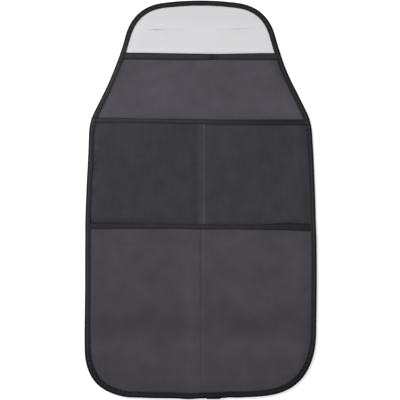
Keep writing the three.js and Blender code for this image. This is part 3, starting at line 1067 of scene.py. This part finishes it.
# Painted shadow at the lap's cut end.
end_shadow = 1 - 0.5 * beside(ring[on_lap, 0], LAP_END, 2.5 * MM)
keep_strip(lap, ring_along[on_lap], lap_share, binding_tone[on_lap] * end_shadow, BINDING_PROFILE)

# %% [markdown]
# ## The bands across the mat
#
# The two mouth tapes are folded over their pockets' edges, and the join tape lies flat over the seam
# between film and cloth. Each is a section swept across the mat, from rim to rim. Straight boxes would
# be quicker, but these bands sag, lean and widen as they were sewn, so their sections follow the places
# given above.

# %% The mouth tapes
BAND_STEP = 3 * MM
HALF_BAND = 5 * MM


def band_stations(edge):
    left, right = (float(rim_at(edge - HALF_BAND, side)) for side in (-1, 1))
    return np.linspace(left, right, round((right - left) / BAND_STEP))


def mouth_tape(name, mouth, bottom, thickness, lift, shape, replaces):
    x = band_stations(mouth)
    width, drop, tone = (along_band(x, values) for values in shape)
    top = bottom + thickness + HEM_RISE + 0 * x
    inset, height, share = folded_section(width * MM, bottom - HEM_RISE + 0 * x, top)
    xs = np.repeat(x[:, None], inset.shape[1], axis=1)
    ys = mouth - drop[:, None] * MM - inset
    zs = height + lift(xs, ys)
    piece = loft(name, np.stack([xs, ys, zs], -1), hem_finish, replaces, closed=False)
    keep_strip(piece, x, share, tone, HEM_PROFILE)
    return piece


MESH_SHAPE = (MESH_TAPE_WIDTH, MESH_TAPE_DROP, MESH_TAPE_TONE)
LOWER_SHAPE = (LOWER_TAPE_WIDTH, LOWER_TAPE_DROP, LOWER_TAPE_TONE)
mesh_hem = mouth_tape(
    "mesh_pocket_mouth_tape", MESH_MOUTH, MESH_BOTTOM, MESH, mesh_lift, MESH_SHAPE,
    "mesh_pocket_hem")
lower_hem = mouth_tape(
    "lower_pocket_mouth_tape", LOWER_MOUTH, LOWER_BOTTOM, CLOTH, lower_lift, LOWER_SHAPE,
    "lower_pocket_hem")

# %% The join tape
JOIN_SPOT_X = 21 * MM
JOIN_SPOT_REACH = 9 * MM
JOIN_STITCHES = {"upper": 0.14, "lower": 0.86}
JOIN_SHARES = [0, 0.03, 0.08, 0.14, 0.2, 0.3, 0.4, 0.5, 0.6, 0.7, 0.8, 0.86, 0.92, 0.97, 1.0]


def on_join_tape(x, share):
    return JOIN_TOP - (along_band(x, JOIN_TAPE_DROP) + along_band(x, JOIN_TAPE_WIDTH) * share) * MM


def join_tape_points(x):
    share = np.array(JOIN_SHARES)
    crown = np.sin(math.pi * share) ** 0.6 * 0.45 * MM
    pulls = sum(beside(share, stitched, 0.05) for stitched in JOIN_STITCHES.values()) * 0.2 * MM
    top = MAIN_TOP + TAPE + crown - pulls
    loop = np.concatenate([share, share[::-1]])
    height = np.concatenate([top, np.full_like(share, MAIN_TOP + 0.03 * MM)])
    xs = np.repeat(x[:, None], len(loop), axis=1)
    ys = on_join_tape(xs, loop)
    return np.stack([xs, ys, height + settle(xs, ys)], -1), loop


x = band_stations(JOIN_TOP)
points, share = join_tape_points(x)
join_tape = loft("join_tape_band", points, hem_finish, "join_tape", closed=False)
join_tone = along_band(x, JOIN_TAPE_TONE) * (1 - 0.35 * beside(x, JOIN_SPOT_X, JOIN_SPOT_REACH))
keep_strip(join_tape, x, share, join_tone, JOIN_PROFILE)

# %% [markdown]
# ## Stitches
#
# A lockstitch shows as a row of short threads, each dipping into the cloth at its ends. They could be a
# bump, but at this size real threads catch the light better. One small spindle is built once and
# repeated along each seam, and each row becomes one piece.

# %% One stitch, and a row of them
STITCH_PITCH = 3.2 * MM
STITCH_LENGTH = 2.5 * MM
THREAD_RADIUS = 0.24 * MM
THREAD_SIDES = 6


def stitch_template():
    along = np.array([-0.5, -0.36, 0, 0.36, 0.5]) * STITCH_LENGTH
    girth = np.array([0.4, 0.85, 1, 0.85, 0.4]) * THREAD_RADIUS
    dip = np.array([-0.9, -0.25, 0, -0.25, -0.9]) * THREAD_RADIUS
    turn = np.arange(THREAD_SIDES) * 2 * math.pi / THREAD_SIDES
    side = girth[:, None] * np.cos(turn)
    up = girth[:, None] * np.sin(turn) + dip[:, None]
    vertices = np.stack([along[:, None] + 0 * turn, side, up], -1).reshape(-1, 3)
    index = np.arange(len(vertices)).reshape(len(along), THREAD_SIDES)
    quads = np.stack([index[:-1], index[1:], np.roll(index[1:], -1, 1), np.roll(index[:-1], -1, 1)], -1)
    faces = [face[::-1] for face in quads.reshape(-1, 4).tolist()]
    return vertices, faces + [index[0].tolist(), index[-1][::-1].tolist()]


def stitch_row(name, line, finish, up=1):
    spans = np.linalg.norm(np.diff(line, axis=0), axis=1)
    along = np.concatenate([[0], np.cumsum(spans)])
    places = np.arange(STITCH_PITCH, along[-1] - STITCH_PITCH / 2, STITCH_PITCH)
    centre = np.stack([np.interp(places, along, line[:, k]) for k in range(3)], -1)
    ahead = np.stack([np.interp(places + MM, along, line[:, k]) for k in range(3)], -1)
    forward = (ahead - centre) / np.linalg.norm(ahead - centre, axis=1)[:, None]
    sideways = np.cross([0, 0, up], forward)
    sideways /= np.linalg.norm(sideways, axis=1)[:, None]
    upward = np.cross(forward, sideways)
    template, faces = stitch_template()
    axes = np.stack([forward, sideways, upward], 1)
    vertices = centre[:, None] + np.einsum("vk,skd->svd", template, axes)
    every = [[i + s * len(template) for i in face] for s in range(len(places)) for face in faces]
    return finish_piece(name, vertices.reshape(-1, 3), every, finish)


# %% The thread finish
def thread(name, colour):
    material, tree, shader = blank_material(name, roughness=0.55, sheen=0.05)
    plies = ripples(tree, turned(tree, place(tree), 45), 0.4 * MM, "X")
    tone = between(tree, 0.75, 1.25, plies)
    dress(tree, shader, scaled_colour(tree, colour, tone), plies, 0.4, 0.1 * MM)
    return material


dark_thread = thread("tape_thread", (0.035, 0.034, 0.037))
cloth_thread = thread("divider_thread", (0.062, 0.059, 0.067))
print("threads:", dark_thread.name, "and", cloth_thread.name)

# %% Stitch the binding and the bands
THREAD_SINK = 0.05 * MM
CLEAR_OF_BINDING = slice(4, -4)


def on_top(x, y, height):
    return np.stack([x, y, height + THREAD_SINK], -1)


seam_inset = binding_width(ring) * STITCH_SHARE
seam = ring + ring_inward * seam_inset[:, None]
seam_height = front_height(STITCH_SHARE, stack_top(ring[:, 1]) + TAPE)
seam_height = seam_height + pucker * math.sin(math.pi * STITCH_SHARE)
binding_stitches = stitch_row("binding_stitches", on_top(*seam.T, seam_height), dark_thread)

x = band_stations(JOIN_TOP)[CLEAR_OF_BINDING]
for label, stitched in JOIN_STITCHES.items():
    y = on_join_tape(x, stitched)
    line = on_top(x, y, MAIN_TOP + TAPE + 0.16 * MM + settle(x, y))
    stitch_row(f"join_tape_stitches_{label}", line, dark_thread)
    line = on_top(x, y, film_height(x, y) - FILM)
    stitch_row(f"film_back_stitches_{label}", line, dark_thread, up=-1)


def mouth_stitches(name, mouth, bottom, thickness, lift, shape):
    x = band_stations(mouth)[CLEAR_OF_BINDING]
    y = mouth - (along_band(x, shape[1]) + along_band(x, shape[0]) * STITCH_SHARE) * MM
    height = front_height(STITCH_SHARE, bottom + thickness + HEM_RISE) + lift(x, y)
    return stitch_row(name, on_top(x, y, height), dark_thread)


mesh_stitches = mouth_stitches(
    "mesh_mouth_stitches", MESH_MOUTH, MESH_BOTTOM, MESH, mesh_lift, MESH_SHAPE)
lower_stitches = mouth_stitches(
    "lower_mouth_stitches", LOWER_MOUTH, LOWER_BOTTOM, CLOTH, lower_lift, LOWER_SHAPE)

# %% [markdown]
# ## Both sides of a seam
#
# A lockstitch shows on the back as it does on the front. The mat's back could be left plain, since it
# is seldom seen, but the same rows turned over make it true to a sewn mat.

# %% Stitch the dividers, and the back
DIVIDER_START = 4 * MM
DIVIDER_END = 12 * MM
line = on_top(*seam.T, 0 * seam_inset)
binding_back = stitch_row("binding_back_stitches", line, dark_thread, up=-1)


def divider(name, seam_x, low, high, height_at):
    y = np.arange(low, high, 2 * MM)
    x = np.full_like(y, seam_x)
    front = stitch_row(f"{name}_stitches", on_top(x, y, height_at(x, y)), cloth_thread)
    line = on_top(x, y, MAIN_TOP - CLOTH + settle(x, y))
    back = stitch_row(f"{name}_back_stitches", line, cloth_thread, up=-1)
    return front, back


mesh_divider, mesh_divider_back = divider(
    "mesh_divider", MESH_SEAM_X, LOWER_MOUTH + DIVIDER_START, MESH_MOUTH - DIVIDER_END, mesh_height)
lower_divider, lower_divider_back = divider(
    "lower_divider", LOWER_SEAM_X, BOTTOM_EDGE + DIVIDER_END, LOWER_MOUTH - DIVIDER_END, lower_height)

# %% [markdown]


# %% [markdown]
# ## Floor, light and camera
#
# The photograph is a flat view on white. The camera looks straight down through a long lens, which
# keeps the outline true. One broad lamp stands to the upper left, and a pale sky fills in the rest, at
# a level where a colour renders about as it is written. Floor and sky glow a little more for the camera
# than they light the mat, so the background renders white and the cloth stays dark.

# %% The floor
floor_mesh = bpy.data.meshes.new("floor")
FLOOR_HALF = 6.0
FLOOR_LEVEL = -0.3 * MM
signs = [(-1, -1), (1, -1), (1, 1), (-1, 1)]
corners = [(right * FLOOR_HALF, ahead * FLOOR_HALF, FLOOR_LEVEL) for right, ahead in signs]
floor_mesh.from_pydata(corners, [], [(0, 1, 2, 3)])
floor = bpy.data.objects.new("floor", floor_mesh)
bpy.context.scene.collection.objects.link(floor)


def seen_rays(tree):
    rays = node(tree, "LightPath").outputs
    seen = math_node(tree, "MAXIMUM", rays["Is Camera Ray"], rays["Is Glossy Ray"])
    return math_node(tree, "MAXIMUM", seen, rays["Is Transmission Ray"])


def pale_floor():
    material, tree, shader = blank_material("pale_floor", roughness=0.9, specular=0.0)
    shader.inputs["Base Color"].default_value = (0.9, 0.9, 0.9, 1)
    glow = math_node(tree, "MULTIPLY", seen_rays(tree), 0.45)
    shader.inputs["Emission Color"].default_value = (1, 1, 1, 1)
    tree.links.new(glow, shader.inputs["Emission Strength"])
    return material


floor.data.materials.append(pale_floor())
print(f"floor at {FLOOR_LEVEL * 1000:.1f} mm")

# %% The lamp and the sky
scene = bpy.context.scene
scene.view_settings.view_transform = "Standard"

world = bpy.data.worlds.new("pale_sky")
scene.world = world
world.use_nodes = True
sky = world.node_tree.nodes["Background"]
sky.inputs["Color"].default_value = (1, 1, 1, 1)
SKY_LIGHT = 0.5
strength = between(world.node_tree, SKY_LIGHT, 1, seen_rays(world.node_tree))
world.node_tree.links.new(strength, sky.inputs["Strength"])


def softbox(name, stand, target, size, power):
    light = bpy.data.lights.new(name, "AREA")
    light.size = size
    light.energy = power
    lamp = bpy.data.objects.new(name, light)
    bpy.context.scene.collection.objects.link(lamp)
    lamp.location = stand
    aim = np.array(target) - np.array(stand)
    yaw = math.atan2(-aim[0], aim[1])
    pitch = math.acos(-aim[2] / np.linalg.norm(aim))
    lamp.rotation_euler = (pitch, 0, yaw)
    return lamp


lamp = softbox("upper_left_softbox", (-2.4, 2.1, 2.7), target=(0, 0, 0), size=2.25, power=128)
print("lamp:", lamp.name)

# %% The camera
FRAME_PIXELS = 400
PIXEL = 1.7566 * MM
CAMERA_DISTANCE = 4.0
MAT_MIDDLE_IN_FRAME = (200.65, 199.55)

lens_data = bpy.data.cameras.new("camera")
camera = bpy.data.objects.new("camera", lens_data)
scene.collection.objects.link(camera)
scene.camera = camera
lens_data.lens = lens_data.sensor_width * CAMERA_DISTANCE / (FRAME_PIXELS * PIXEL)
shift_right = (MAT_MIDDLE_IN_FRAME[0] - FRAME_PIXELS / 2) * PIXEL
shift_up = (FRAME_PIXELS / 2 - MAT_MIDDLE_IN_FRAME[1]) * PIXEL
camera.location = (-shift_right, -shift_up, CAMERA_DISTANCE)
camera.rotation_euler = (0, 0, 0)
print(f"lens: {lens_data.lens:.0f} mm")
